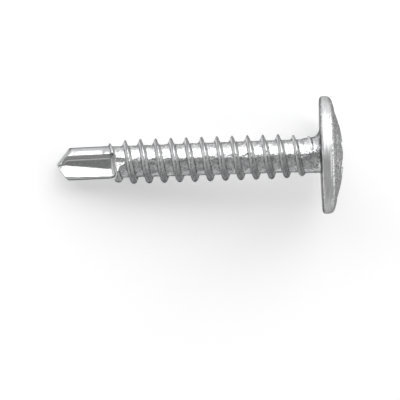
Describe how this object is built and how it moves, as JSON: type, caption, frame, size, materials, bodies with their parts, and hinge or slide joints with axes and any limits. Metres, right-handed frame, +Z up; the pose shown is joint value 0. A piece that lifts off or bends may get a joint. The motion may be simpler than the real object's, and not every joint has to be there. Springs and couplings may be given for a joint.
{
  "type": "self drilling screw",
  "caption": "Zinc plated self drilling screw with a wide wafer head, a cross recess and a pinched drill point, lying on its side.",
  "frame": {"origin": "bottom centre of the bounding box of the screw as it lies on the floor", "axes": "+Z up, +X from the drill point towards the head with the axis rising 10.4 degrees to the head, +Y to the left of that"},
  "size_m": [0.026, 0.0108, 0.0107],
  "materials": {
    "zinc_plated_steel": "bright zinc plating, finely pitted and mottled"
  },
  "bodies": {
    "root": {"screw": "zinc_plated_steel"}
  },
  "joints": []
}
